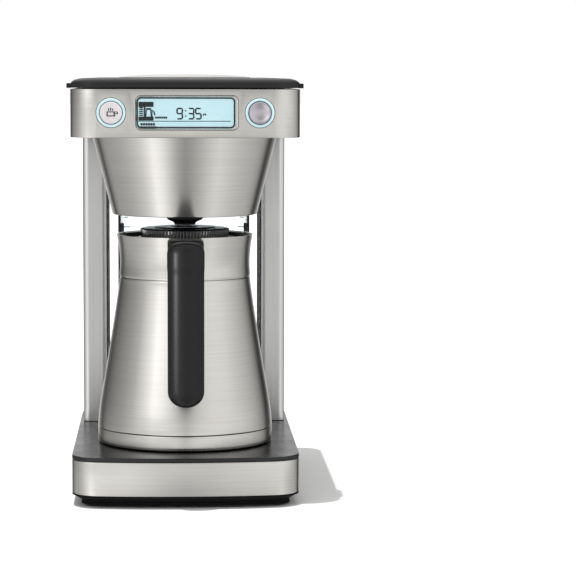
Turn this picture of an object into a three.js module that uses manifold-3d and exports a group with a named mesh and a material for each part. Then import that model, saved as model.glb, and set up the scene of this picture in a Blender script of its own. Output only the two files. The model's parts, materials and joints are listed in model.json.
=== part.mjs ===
// Drip coffee maker with a thermal jug, a funnel-shaped brew head and a water tank between two rear columns.
// Units are millimetres. +Z is up, the jug's grip points to -Y, and the origin is on the floor under the
// centre of the whole machine.
import * as THREE from "three";
import { mergeVertices } from "three/addons/utils/BufferGeometryUtils.js";
import Module from "manifold-3d";

const wasm = await Module();
wasm.setup();

// ---------------------------------------------------------------- driving dimensions

const GAP = 0.3; // clearance between neighbouring pieces
const SHEET = 1.5; // thickness of the steel casings

const BASE_DEPTH = 350;
const GLAND_FLANGE = 1.5; // how far the cord gland stands out at the back
const GRIP_REACH = 15.5; // how far the jug's grip stands out in front of the base
const FRONT = GRIP_REACH - (BASE_DEPTH + GRIP_REACH + GLAND_FLANGE) / 2;
const BACK = FRONT + BASE_DEPTH;

const BASE = { halfWidth: 108, front: FRONT, back: BACK, frontCorner: 28, backCorner: 26, bow: 6 };
const PAN_BOTTOM = 1.5;
const PAN_TOP = 11.7;
const PAN_INSET = 8.5; // how far the pan stands in at the floor
const PAN_WAIST = { height: 5.2, inset: 10 }; // narrowest level of the pan
const PLATE_BOTTOM = 44.7;
const PLATE_TOP = 48.5;
const FOOT_PLACES = { front_left: [-78, -128], front_right: [78, -128], rear_left: [-78, 148], rear_right: [78, 148] };

const COLUMN = { inner: 78.5, outer: 104, front: 78, back: 172, corner: 6 };
const COLUMN_AXIS = [90, 125]; // where the pipe and the wiring run up inside the columns

const HEAD = { halfWidth: 107.5, front: FRONT, back: 174, frontCorner: 25, backCorner: 24, bow: 0 };
const HEAD_BOTTOM = 349.6;
const HEAD_TOP = 393.2;
const CONTROL_HEIGHT = 372; // centre line of the button, display and dial
const CONTROL_SPREAD = 69; // button and dial distance from the middle
const BEZEL = { x: 1.4, width: 95.2, height: 32, corner: 5 };
const WINDOW = { x: 0.3, width: 90.8, height: 28, corner: 4 };
const RING_RADIUS = 13.8;
const BUTTON_RADIUS = 10.3;

const LID = { halfWidth: 107, front: FRONT + 0.5, back: 173, frontCorner: 25, backCorner: 24, bow: 0 };
const LID_BOTTOM = 394.2;
const LID_TOP = 404.2;
const BREW_HINGE = { y: 62, z: 399.2 };
const FILL_HINGE = { y: 177, z: 396 };
const TAB_REACH = 111.2;

const AXIS_Y = FRONT + 120; // the jug, funnel and drip stop share this axis
const FUNNEL_BOTTOM = 271.7;
const FUNNEL_RADIUS = { bottom: 70.6, top: 90.4 };

const TANK = { halfWidth: 68, front: 82, back: 148, corner: 8, wall: 2.5, top: 347.5 };
const CHUTE = { halfWidth: 59, front: 91, back: 139, corner: 6, wall: 2 };
const VALVE_Y = 115;

const RIM_HEIGHT = 252.2;
const COLLAR_BOTTOM = 211;
const GRIP = { halfWidth: 17.2, thickness: 24, top: 254, bottom: 97 };

// ---------------------------------------------------------------- materials

const finish = (color, roughness, metalness, extra = {}) =>
  new THREE.MeshStandardMaterial({ color, roughness, metalness, ...extra });
const steel = () => finish(0xc8c6c1, 0.32, 1);
const blackPlastic = () => finish(0x2b2b2c, 0.55, 0);
const softTouch = () => finish(0x323334, 0.7, 0);
const clearPlastic = () => finish(0xe8eef0, 0.08, 0, { transparent: true, opacity: 0.3 });
const lightPipe = () => finish(0xd0ecf2, 0.35, 0);
const rubber = () => finish(0x1c1c1c, 0.9, 0);
const silicone = () => finish(0xdcdad2, 0.6, 0);
const aluminium = () => finish(0xb9bbbd, 0.45, 1);
const circuitBoard = () => finish(0x2f6b45, 0.6, 0);
const springSteel = () => finish(0xa8aaac, 0.3, 1);

// ---------------------------------------------------------------- solid tools

function solidOf(geometry) {
  const bare = geometry.clone();
  bare.deleteAttribute("normal");
  bare.deleteAttribute("uv");
  const merged = mergeVertices(bare, 1e-4);
  return new wasm.Manifold(
    new wasm.Mesh({
      numProp: 3,
      vertProperties: merged.attributes.position.array,
      triVerts: new Uint32Array(merged.index.array),
    }),
  );
}

function geometryOf(solid) {
  const { vertProperties, triVerts } = solid.getMesh();
  const geometry = new THREE.BufferGeometry();
  geometry.setAttribute("position", new THREE.BufferAttribute(vertProperties, 3));
  geometry.setIndex(new THREE.BufferAttribute(triVerts, 1));
  geometry.computeVertexNormals();
  return geometry;
}

const cut = (body, ...tools) =>
  geometryOf(tools.reduce((solid, tool) => solid.subtract(solidOf(tool)), solidOf(body)));
const join = (body, ...others) =>
  geometryOf(others.reduce((solid, other) => solid.add(solidOf(other)), solidOf(body)));
const keep = (body, region) => geometryOf(solidOf(body).intersect(solidOf(region)));

// Points of an arc, from one angle to another in degrees.
function arc(x, y, radius, from, to, steps = 5) {
  return Array.from({ length: steps + 1 }, (_, i) => {
    const angle = THREE.MathUtils.degToRad(from + ((to - from) * i) / steps);
    return new THREE.Vector2(x + radius * Math.cos(angle), y + radius * Math.sin(angle));
  });
}

// Plan of the base or the head: straight sides, arcs at the corners and, with a bow, a front that
// curves forward as a parabola and meets the corner arcs without a kink.
function plan({ halfWidth, front, back, frontCorner, backCorner, bow }, inset = 0) {
  const x = halfWidth - inset;
  const nose = Math.max(frontCorner - inset, 2);
  const tail = Math.max(backCorner - inset, 2);
  const lean = Math.atan((2 * bow) / (x - nose));
  const start = x - nose + nose * Math.sin(lean);
  const sag = (Math.tan(lean) * start) / 2;
  const noseY = front + inset + sag + nose * Math.cos(lean);
  const turn = THREE.MathUtils.radToDeg(lean);
  const points = [
    ...arc(x - nose, noseY, nose, -90 + turn, 0),
    ...arc(x - tail, back - inset - tail, tail, 0, 90),
    ...arc(tail - x, back - inset - tail, tail, 90, 180),
    ...arc(nose - x, noseY, nose, 180, 270 - turn),
  ];
  const steps = bow ? 8 : 0;
  for (let i = 1; i < steps; i++) {
    const across = -start + (2 * start * i) / steps;
    points.push(new THREE.Vector2(across, front + inset + sag * (across / start) ** 2));
  }
  return points;
}

function roundedBox({ halfWidth, front, back, corner }, inset = 0) {
  return plan({ halfWidth, front, back, frontCorner: corner, backCorner: corner, bow: 0 }, inset);
}

// Closed solid through a stack of [height, outline] levels. Outlines run anticlockwise, with equal counts.
function loft(levels) {
  const count = levels[0][1].length;
  const top = (levels.length - 1) * count;
  const positions = levels.flatMap(([height, outline]) => outline.flatMap(({ x, y }) => [x, y, height]));
  const index = [];
  for (let a = 0; a < top; a++) {
    const b = (a % count) + 1 < count ? a + 1 : a + 1 - count;
    index.push(a, b, b + count, a, b + count, a + count);
  }
  for (const [a, b, c] of THREE.ShapeUtils.triangulateShape(levels[0][1], [])) index.push(c, b, a);
  for (const [a, b, c] of THREE.ShapeUtils.triangulateShape(levels.at(-1)[1], [])) {
    index.push(a + top, b + top, c + top);
  }
  const geometry = new THREE.BufferGeometry();
  geometry.setAttribute("position", new THREE.Float32BufferAttribute(positions, 3));
  geometry.setIndex(index);
  geometry.computeVertexNormals();
  return geometry;
}

const prism = (outline, bottom, top) => loft([[bottom, outline], [top, outline]]);

function box([x0, x1], [y0, y1], [z0, z1]) {
  return new THREE.BoxGeometry(x1 - x0, y1 - y0, z1 - z0).translate((x0 + x1) / 2, (y0 + y1) / 2, (z0 + z1) / 2);
}

// Round bar between two points.
function bar(radius, start, end, sides = 24) {
  const from = new THREE.Vector3(...start);
  const along = new THREE.Vector3(...end).sub(from);
  const turn = new THREE.Quaternion().setFromUnitVectors(new THREE.Vector3(0, 1, 0), along.clone().normalize());
  const middle = from.addScaledVector(along, 0.5);
  return new THREE.CylinderGeometry(radius, radius, along.length(), sides)
    .applyQuaternion(turn)
    .translate(middle.x, middle.y, middle.z);
}

// Solid turned about +Z from [radius, height] points, listed anticlockwise. A profile that starts off the
// axis is closed into a ring.
function turned(profile, sides = 48) {
  const points = profile.map(([radius, height]) => new THREE.Vector2(radius, height));
  if (points[0].x > 0) points.push(points[0].clone());
  return new THREE.LatheGeometry(points, sides).rotateX(Math.PI / 2);
}

function roundedRectangle(width, height, corner) {
  const outline = roundedBox({ halfWidth: width / 2, front: -height / 2, back: height / 2, corner });
  return new THREE.Shape(outline);
}

// Upright plate in the XZ plane, from y = 0 forward to y = -thickness.
function panel(width, height, corner, thickness, opening) {
  const shape = roundedRectangle(width, height, corner);
  if (opening) {
    const edge = roundedRectangle(opening.width, opening.height, opening.corner).getPoints();
    shape.holes.push(new THREE.Path(edge.map(({ x, y }) => new THREE.Vector2(x + opening.x, y))));
  }
  return new THREE.ExtrudeGeometry(shape, { depth: thickness, bevelEnabled: false }).rotateX(Math.PI / 2);
}

// Pipe or cable along a smooth curve through the given points.
function pipe(points, radius, bore, steps) {
  const path = new THREE.CatmullRomCurve3(points.map((point) => new THREE.Vector3(...point)), false, "centripetal");
  const section = new THREE.Shape().absarc(0, 0, radius, 0, 2 * Math.PI, false);
  if (bore) section.holes.push(new THREE.Path().absarc(0, 0, bore, 0, 2 * Math.PI, true));
  return new THREE.ExtrudeGeometry(section, { steps, curveSegments: 4, bevelEnabled: false, extrudePath: path });
}

class Helix extends THREE.Curve {
  constructor(radius, bottom, top, turns) {
    super();
    Object.assign(this, { radius, bottom, top, turns });
  }
  getPoint(t, target = new THREE.Vector3()) {
    const angle = 2 * Math.PI * this.turns * t;
    return target.set(
      this.radius * Math.cos(angle),
      this.radius * Math.sin(angle),
      this.bottom + (this.top - this.bottom) * t,
    );
  }
}

// ---------------------------------------------------------------- assembly tree

const coffeeMaker = new THREE.Group();

function group(parent, x = 0, y = 0, z = 0) {
  const made = new THREE.Group();
  made.position.set(x, y, z);
  parent.add(made);
  return made;
}

function piece(parent, name, geometry, material) {
  const mesh = new THREE.Mesh(geometry, material);
  mesh.name = name;
  parent.add(mesh);
  return mesh;
}

// ---------------------------------------------------------------- base

function addBase() {
  const base = group(coffeeMaker);
  const places = Object.entries(FOOT_PLACES);
  const screwPlace = ([x, y]) => [x - 22 * Math.sign(x), y];

  const bosses = places.map(([, at]) => bar(6, [...screwPlace(at), 3], [...screwPlace(at), 7], 20));
  const panHoles = places.flatMap(([, at]) => [
    bar(3.4, [...screwPlace(at), 0], [...screwPlace(at), 4.5], 20),
    bar(1.9, [...screwPlace(at), 4], [...screwPlace(at), 8], 16),
    bar(3.3, [...at, 0], [...at, 5], 20),
  ]);
  const tray = cut(
    loft([[PAN_BOTTOM, plan(BASE, PAN_INSET)], [PAN_WAIST.height, plan(BASE, PAN_WAIST.inset)], [PAN_TOP, plan(BASE)]]),
    loft([
      [PAN_BOTTOM + 2.5, plan(BASE, PAN_WAIST.inset + 1.6)],
      [PAN_WAIST.height + 0.3, plan(BASE, PAN_WAIST.inset + 1.6)],
      [PAN_TOP + 1, plan(BASE, 1.8)],
    ]),
  );
  piece(base, "base_pan", cut(join(tray, ...bosses), ...panHoles), blackPlastic());

  const band = cut(
    prism(plan(BASE), PAN_TOP + GAP, PLATE_BOTTOM - GAP),
    prism(plan(BASE, SHEET), PAN_TOP - 1, PLATE_BOTTOM + 1),
    bar(7.3, [-40, BACK - 5, 26], [-40, BACK + 5, 26]),
  );
  piece(base, "base_band", band, steel());

  const posts = places.map(([, at]) => bar(4.5, [...screwPlace(at), 7.3], [...screwPlace(at), PLATE_BOTTOM + 1], 16));
  const plateHoles = [
    bar(10, [0, VALVE_Y, 40], [0, VALVE_Y, 60]),
    ...[-1, 1].map((side) => bar(6, [side * COLUMN_AXIS[0], COLUMN_AXIS[1], 40], [side * COLUMN_AXIS[0], COLUMN_AXIS[1], 60])),
    ...places.map(([, at]) => bar(1.9, [...screwPlace(at), 0], [...screwPlace(at), 22], 12)),
  ];
  const plate = loft([
    [PLATE_BOTTOM, plan(BASE)],
    [PLATE_TOP - 1, plan(BASE)],
    [PLATE_TOP, plan(BASE, 1)],
  ]);
  piece(base, "base_plate", cut(join(plate, ...posts), ...plateHoles), blackPlastic());

  for (const [place, at] of places) {
    const foot = turned([[0, 0], [9, 0], [10, 0.5], [10, PAN_BOTTOM - GAP], [3, PAN_BOTTOM - GAP], [3, 4.6], [0, 4.6]], 16);
    piece(group(base, ...at), "foot_" + place, foot, rubber());
    const screw = turned([[0, 1.8], [3, 1.8], [3, 4.2], [1.6, 4.2], [1.6, 20], [0, 21]], 12);
    piece(group(base, ...screwPlace(at)), "base_screw_" + place, screw, springSteel());
  }

  const gland = cut(
    join(bar(7, [-40, BACK - 6, 26], [-40, BACK + 1, 26]), bar(9, [-40, BACK + GAP, 26], [-40, BACK + GLAND_FLANGE, 26])),
    bar(3.6, [-40, BACK - 10, 26], [-40, BACK + 10, 26], 16),
  );
  piece(base, "cord_gland", gland, rubber());
}

// ---------------------------------------------------------------- columns

function addColumns() {
  for (const [name, side] of [["column_left", -1], ["column_right", 1]]) {
    const middle = (side * (COLUMN.inner + COLUMN.outer)) / 2;
    const section = { ...COLUMN, halfWidth: (COLUMN.outer - COLUMN.inner) / 2 };
    const tube = cut(
      prism(roundedBox(section), PLATE_TOP + GAP, HEAD_BOTTOM - GAP),
      prism(roundedBox(section, SHEET), PLATE_TOP - 1, HEAD_BOTTOM + 1),
    );
    piece(group(coffeeMaker, middle), name, tube, steel());
  }
}

// ---------------------------------------------------------------- water path

function addWaterPath() {
  const water = group(coffeeMaker);
  const tank = cut(
    prism(roundedBox(TANK), PLATE_TOP + GAP, TANK.top),
    prism(roundedBox(TANK, TANK.wall), PLATE_TOP + GAP + 3.2, TANK.top + 1),
    bar(14.6, [0, VALVE_Y, 40], [0, VALVE_Y, 60]),
  );
  piece(water, "water_tank", tank, clearPlastic());

  const outlet = group(water, 0, VALVE_Y);
  const valve = turned([[3, 30], [7, 30], [9, 33], [9, 53.5], [17, 53.5], [17, 55.5], [3, 55.5]], 20);
  piece(outlet, "tank_valve", valve, blackPlastic());
  piece(outlet, "tank_seal", turned([[9.3, 48.8], [14.1, 48.8], [14.1, 53.2], [9.3, 53.2]], 24), silicone());

  const stubs = [-40, 40].map((x) => bar(4, [x, 50, 22], [x, 64, 22], 16));
  const bores = [-40, 40].map((x) => bar(2.5, [x, 45, 22], [x, 70, 22], 12));
  const casting = { halfWidth: 58, front: 22, back: 56, corner: 10 };
  piece(water, "heater", cut(join(prism(roundedBox(casting), 10, 34), ...stubs), ...bores), aluminium());

  const toHeater = [
    [0, VALVE_Y, 29.4], [0, VALVE_Y, 26], [-4, 108, 20], [-26, 86, 20], [-40, 70, 22], [-40, 64.4, 22],
  ];
  piece(water, "supply_hose", pipe(toHeater, 4.5, 2.6, 12), silicone());
  const [columnX, columnY] = COLUMN_AXIS;
  const toShower = [
    [40, 64.4, 22], [40, 70, 22], [60, 104, 20], [84, 122, 24], [columnX, columnY, 36], [columnX, columnY, 60],
    [columnX, columnY, 200], [columnX, columnY, 350], [columnX, 122, 366], [88, 96, 378], [60, 74, 380.5],
    [16, 67, 380.5], [0, 60, 380.5], [0, 55, 380.5],
  ];
  piece(water, "riser_pipe", pipe(toShower, 4.5, 2.6, 32), silicone());

  const arm = bar(4, [0, 54.5, 380.5], [0, AXIS_Y, 380.5], 16);
  const rose = turned([[0, 375.5], [26, 375.5], [27.5, 377], [27.5, 379], [8, 384.5], [0, 385]], 32).translate(0, AXIS_Y, 0);
  piece(water, "shower_head", join(rose, arm), blackPlastic());
}

// ---------------------------------------------------------------- electrics

function addElectrics() {
  const electrics = group(coffeeMaker);
  const [boardX, boardY] = [-62, 92];
  const legs = [[4, 4], [52, 4], [4, 46], [52, 46]].map(([x, y]) =>
    bar(2, [boardX + x, boardY + y, 4.3], [boardX + x, boardY + y, 10], 10));
  const components = [
    box([boardX + 4, boardX + 26], [boardY + 10, boardY + 28], [10, 30]),
    box([boardX + 32, boardX + 46], [boardY + 12, boardY + 30], [10, 24]),
    bar(6, [boardX + 16, boardY + 38, 10], [boardX + 16, boardY + 38, 28], 16),
  ];
  const slab = box([boardX, boardX + 56], [boardY, boardY + 50], [9, 10.6]);
  piece(electrics, "power_board", join(slab, ...legs, ...components), circuitBoard());

  const [columnX, columnY] = COLUMN_AXIS;
  const loomPath = [
    [boardX - 1, 116, 14], [-74, 119, 18], [-86, 123, 30], [-columnX, columnY, 48], [-columnX, columnY, 200],
    [-columnX, columnY, 352], [-columnX, 120, 362], [-97, 90, 366], [-98, 0, 366], [-98, -90, 366], [-94, -132, 366],
    [-82, -147, 367], [-72, -150, 368],
  ];
  piece(electrics, "wiring_loom", pipe(loomPath, 2.5, 0, 36), rubber());
}

// ---------------------------------------------------------------- head

function addHead() {
  const head = group(coffeeMaker);
  const windowCut = panel(BEZEL.width + 2 * GAP, BEZEL.height + 2 * GAP, BEZEL.corner, 20);
  windowCut.translate(BEZEL.x, FRONT + 10, CONTROL_HEIGHT);
  const ringCuts = [-1, 1].map((side) =>
    bar(RING_RADIUS + GAP, [side * CONTROL_SPREAD, FRONT - 5, CONTROL_HEIGHT], [side * CONTROL_SPREAD, FRONT + 5, CONTROL_HEIGHT], 36));
  const shell = cut(
    prism(plan(HEAD), HEAD_BOTTOM, HEAD_TOP),
    prism(plan(HEAD, SHEET), HEAD_BOTTOM - 1, HEAD_TOP + 1),
    windowCut,
    ...ringCuts,
  );
  piece(head, "head_shell", shell, steel());

  const wellCut = (bottom, top) => bar(FUNNEL_RADIUS.top + 0.5, [0, AXIS_Y, bottom], [0, AXIS_Y, top], 48);
  const chuteCut = (bottom, top) => prism(roundedBox(CHUTE, -0.4), bottom, top);
  const pipeCuts = [-1, 1].map((side) => bar(6, [side * COLUMN_AXIS[0], COLUMN_AXIS[1], 340], [side * COLUMN_AXIS[0], COLUMN_AXIS[1], 360], 16));
  const floor = cut(prism(plan(HEAD, SHEET + GAP), 350, 353), wellCut(340, 360), chuteCut(340, 360), ...pipeCuts);
  piece(head, "head_floor", floor, blackPlastic());

  const ears = [-1, 1].map((side) => join(
    box([side * 70 - 4, side * 70 + 4], [BREW_HINGE.y - 2.8, BREW_HINGE.y + 2.8], [389, BREW_HINGE.z]),
    bar(2.8, [side * 70 - 4, BREW_HINGE.y, BREW_HINGE.z], [side * 70 + 4, BREW_HINGE.y, BREW_HINGE.z], 16),
  ));
  const deck = cut(
    join(prism(plan(HEAD, SHEET + GAP), 388.5, HEAD_TOP - GAP), ...ears),
    wellCut(380, 400),
    chuteCut(380, 400),
    bar(1.8, [-80, BREW_HINGE.y, BREW_HINGE.z], [80, BREW_HINGE.y, BREW_HINGE.z], 16),
  );
  piece(head, "head_deck", deck, blackPlastic());

  const chute = cut(prism(roundedBox(CHUTE), 341, 392), prism(roundedBox(CHUTE, CHUTE.wall), 340, 393));
  piece(head, "fill_chute", chute, blackPlastic());
}

function addControls() {
  const controls = group(coffeeMaker, 0, FRONT, CONTROL_HEIGHT);

  const opening = { ...WINDOW, x: WINDOW.x - BEZEL.x };
  const bezel = panel(BEZEL.width, BEZEL.height, BEZEL.corner, 8, opening);
  piece(group(controls, BEZEL.x, 8), "display_bezel", bezel, finish(0xd8d7d3, 0.25, 1));
  const lens = panel(WINDOW.width - 2 * GAP, WINDOW.height - 2 * GAP, WINDOW.corner - GAP, 1.6);
  piece(group(controls, WINDOW.x, 4.1), "display_lens", lens, finish(0xd0ecf2, 0.15, 0));
  const screen = panel(86, 24, 1, 6);
  piece(group(controls, WINDOW.x, 12.4), "display_screen", screen, finish(0xbfe2ea, 0.4, 0));

  // Board with the push switch behind the button and the encoder behind the dial.
  const encoderBore = bar(3, [CONTROL_SPREAD, 0, 0], [CONTROL_SPREAD, 16.5, 0], 16);
  const board = cut(
    join(
      panel(168, 24, 2, 1.6).translate(0, 14.6, 0),
      box([-CONTROL_SPREAD - 4, -CONTROL_SPREAD + 4], [9.8, 13.5], [-4, 4]),
      box([CONTROL_SPREAD - 6, CONTROL_SPREAD + 6], [8.4, 13.5], [-6, 6]),
    ),
    encoderBore,
  );
  piece(controls, "control_board", board, circuitBoard());

  // The button, dial and rings are turned about an axis that leaves the front of the head.
  const [left, right] = [-1, 1].map((side) => {
    const axis = group(controls, side * CONTROL_SPREAD);
    axis.rotation.x = Math.PI / 2;
    return axis;
  });
  const ring = () => turned(
    [[BUTTON_RADIUS + 0.4, -5], [RING_RADIUS, -5], [RING_RADIUS, 0.3], [RING_RADIUS - 0.4, 0.7], [BUTTON_RADIUS + 0.8, 0.7], [BUTTON_RADIUS + 0.4, 0.3]],
    28,
  );
  piece(left, "button_ring", ring(), lightPipe());
  piece(right, "dial_ring", ring(), lightPipe());

  const button = turned(
    [[0, -7.2], [3, -7.2], [3, -5.5], [BUTTON_RADIUS, -5.5], [BUTTON_RADIUS, 0.8], [BUTTON_RADIUS - 0.8, 1.4], [8, 1.2], [4, 0.9], [0, 0.8]],
    28,
  );
  piece(left, "brew_button", button, finish(0xdcdad8, 0.35, 0.6));
  const knob = turned(
    [[0, -4.4], [3, -4.4], [3, -6.5], [BUTTON_RADIUS, -6.5], [BUTTON_RADIUS, 1.4], [BUTTON_RADIUS - 1, 2.2], [8, 1.5], [4, 0.9], [0, 0.7]],
    28,
  );
  piece(right, "dial_knob", knob, finish(0xd2d0d2, 0.3, 0.8));
  piece(right, "dial_shaft", turned([[0, -14], [2.7, -14], [2.7, -4.7], [0, -4.7]], 20), springSteel());
}

// ---------------------------------------------------------------- lids

// The two lids share one outline, bevelled down towards the sides, and part along a line above the head.
function lidBlank() {
  return loft([
    [LID_BOTTOM, plan(LID)],
    [LID_TOP - 4.4, plan(LID)],
    [LID_TOP - 3, plan(LID, 1.5)],
    [LID_TOP - 1.7, plan(LID, 4)],
    [LID_TOP - 0.5, plan(LID, 9)],
    [LID_TOP, plan(LID, 22)],
  ]);
}

function addLids() {
  const lids = group(coffeeMaker);
  const pinBore = (hinge, halfLength) => bar(1.8, [-halfLength, hinge.y, hinge.z], [halfLength, hinge.y, hinge.z], 16);
  const notches = [-1, 1].map((side) => box([side * 70 - 4.4, side * 70 + 4.4], [55, 80], [390, 410]));
  const brewRegion = box([-120, 120], [-200, BREW_HINGE.y + 3], [390, 420]);
  const underside = prism(plan(LID, 4), LID_BOTTOM - 1, LID_BOTTOM + 2.5);
  const hollow = keep(underside, box([-120, 120], [-200, BREW_HINGE.y - 8], [390, 420]));
  const brewLid = cut(keep(lidBlank(), brewRegion), hollow, ...notches, pinBore(BREW_HINGE, 78));
  piece(lids, "brew_lid", brewLid, blackPlastic());
  piece(lids, "brew_lid_pin", bar(1.5, [-77, BREW_HINGE.y, BREW_HINGE.z], [77, BREW_HINGE.y, BREW_HINGE.z], 12), springSteel());

  const crown = turned([[0, LID_TOP + GAP], [64, LID_TOP + GAP], [63, 405], [52, 406.2], [40, 407], [0, 407.4]], 56);
  piece(group(lids, 0, AXIS_Y), "lid_crown", crown, steel());

  // Ribbed finger tabs: a strip with ten teeth along each side.
  for (const [name, side] of [["lid_tab_left", -1], ["lid_tab_right", 1]]) {
    const [root, start, pitch, teeth] = [LID.halfWidth + GAP, FRONT + 32, 4, 10];
    const outline = [new THREE.Vector2(root, start)];
    for (let i = 0; i < teeth; i++) {
      const y = start + pitch * i;
      outline.push(new THREE.Vector2(TAB_REACH, y + 0.1), new THREE.Vector2(TAB_REACH, y + 2.6));
      if (i < teeth - 1) outline.push(new THREE.Vector2(TAB_REACH - 1.6, y + 2.9), new THREE.Vector2(TAB_REACH - 1.6, y + 3.9));
    }
    outline.push(new THREE.Vector2(root, start + pitch * (teeth - 1) + 2.7));
    const facing = side > 0 ? outline : outline.map(({ x, y }) => new THREE.Vector2(-x, y)).reverse();
    piece(lids, name, prism(facing, LID_BOTTOM + 0.4, 399), rubber());
  }

  const fillRegion = box([-120, 120], [BREW_HINGE.y + 6, 200], [390, 420]);
  const knuckles = [-1, 1].map((side) => join(
    box([side * 54 - 8, side * 54 + 8], [170, FILL_HINGE.y], [LID_BOTTOM + 0.2, 398.8]),
    bar(3, [side * 54 - 8, FILL_HINGE.y, FILL_HINGE.z], [side * 54 + 8, FILL_HINGE.y, FILL_HINGE.z], 20),
  ));
  const fillLid = cut(join(keep(lidBlank(), fillRegion), ...knuckles), pinBore(FILL_HINGE, 70));
  piece(lids, "fill_lid", fillLid, blackPlastic());
  const bracket = cut(
    join(
      box([-45.5, 45.5], [HEAD.back + GAP, HEAD.back + 1.8], [374, FILL_HINGE.z - 2]),
      bar(2.9, [-45.5, FILL_HINGE.y, FILL_HINGE.z], [45.5, FILL_HINGE.y, FILL_HINGE.z], 20),
      box([-45.5, 45.5], [HEAD.back + GAP, FILL_HINGE.y], [FILL_HINGE.z - 3, FILL_HINGE.z - 1.8]),
    ),
    pinBore(FILL_HINGE, 70),
  );
  piece(lids, "fill_lid_hinge", bracket, springSteel());
  piece(lids, "fill_lid_pin", bar(1.5, [-61, FILL_HINGE.y, FILL_HINGE.z], [61, FILL_HINGE.y, FILL_HINGE.z], 12), springSteel());
}

// ---------------------------------------------------------------- brew unit

function addBrewUnit() {
  const brew = group(coffeeMaker, 0, AXIS_Y);
  const { bottom, top } = FUNNEL_RADIUS;
  const slope = (top - bottom) / (HEAD_BOTTOM - FUNNEL_BOTTOM);
  const skinRadius = (height) => bottom + slope * (Math.min(height, HEAD_BOTTOM) - FUNNEL_BOTTOM);

  const skin = turned([
    [bottom - 1.6, FUNNEL_BOTTOM], [bottom - 0.6, FUNNEL_BOTTOM], [bottom + 0.1, FUNNEL_BOTTOM + 0.7], [top, HEAD_BOTTOM],
    [top, 391.5], [top - SHEET, 391.5], [top - SHEET, HEAD_BOTTOM], [bottom - 1.6, FUNNEL_BOTTOM + 0.7],
  ]);
  const armNotch = box([-6, 6], [70, 110], [374, 400]);
  piece(brew, "funnel_shell", cut(skin, armNotch), steel());

  const fit = SHEET + 0.6;
  const basket = turned([
    [5, 275], [skinRadius(275) - fit, 275], [skinRadius(HEAD_BOTTOM) - fit, HEAD_BOTTOM], [skinRadius(HEAD_BOTTOM) - fit, 368],
    [skinRadius(HEAD_BOTTOM) - fit - 2, 368], [skinRadius(HEAD_BOTTOM) - fit - 2, HEAD_BOTTOM],
    [skinRadius(277) - fit - 2, 277.2], [5, 277.2],
  ], 40);
  piece(brew, "brew_basket", basket, blackPlastic());

  const housing = turned([
    [7, 261.6], [10.3, 261.6], [10.8, 264], [12.4, 265.8], [16.4, 269.6], [17.5, 272.4], [68.4, 272.4],
    [68.4, 274.4], [4.2, 274.4], [4.2, 272], [7, 272],
  ], 28);
  piece(brew, "drip_stop_housing", housing, blackPlastic());
  const plunger = turned([
    [0, 261.2], [4.5, 261.2], [6.2, 262.4], [6.2, 264], [2.2, 264.6], [2.2, 277.5], [7.6, 277.5], [7.6, 279], [0, 280.2],
  ], 16);
  piece(brew, "drip_stop_plunger", plunger, silicone());
  const wire = new THREE.Shape().absarc(0, 0, 0.5, 0, 2 * Math.PI, false);
  const coil = new THREE.ExtrudeGeometry(wire, {
    steps: 36, curveSegments: 3, bevelEnabled: false, extrudePath: new Helix(5.3, 265.4, 271.2, 3.5),
  });
  piece(brew, "drip_stop_spring", coil, springSteel());
}

// ---------------------------------------------------------------- thermal jug

// Outer radius of the jug's body at a height, from the seam above the base ring to the collar.
const bodyCurve = new THREE.SplineCurve([
  new THREE.Vector2(85.6, 64), new THREE.Vector2(85.1, 71), new THREE.Vector2(83, 88.4), new THREE.Vector2(76.3, 127.6),
  new THREE.Vector2(69.8, 167), new THREE.Vector2(64.9, 200), new THREE.Vector2(63.9, 210.4),
]);
const collarCurve = new THREE.SplineCurve([
  new THREE.Vector2(64.1, COLLAR_BOTTOM), new THREE.Vector2(63.5, 224), new THREE.Vector2(64.3, 238),
  new THREE.Vector2(66.5, RIM_HEIGHT),
]);

// A sheet-metal wall that follows a curve, as a closed [radius, height] profile.
function wall(curve, steps, outside, inside) {
  const outer = curve.getPoints(steps).map(({ x, y }) => [x - outside, y]);
  const inner = curve.getPoints(steps).map(({ x, y }) => [x - inside, y]);
  return [...outer, ...inner.reverse()];
}

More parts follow.
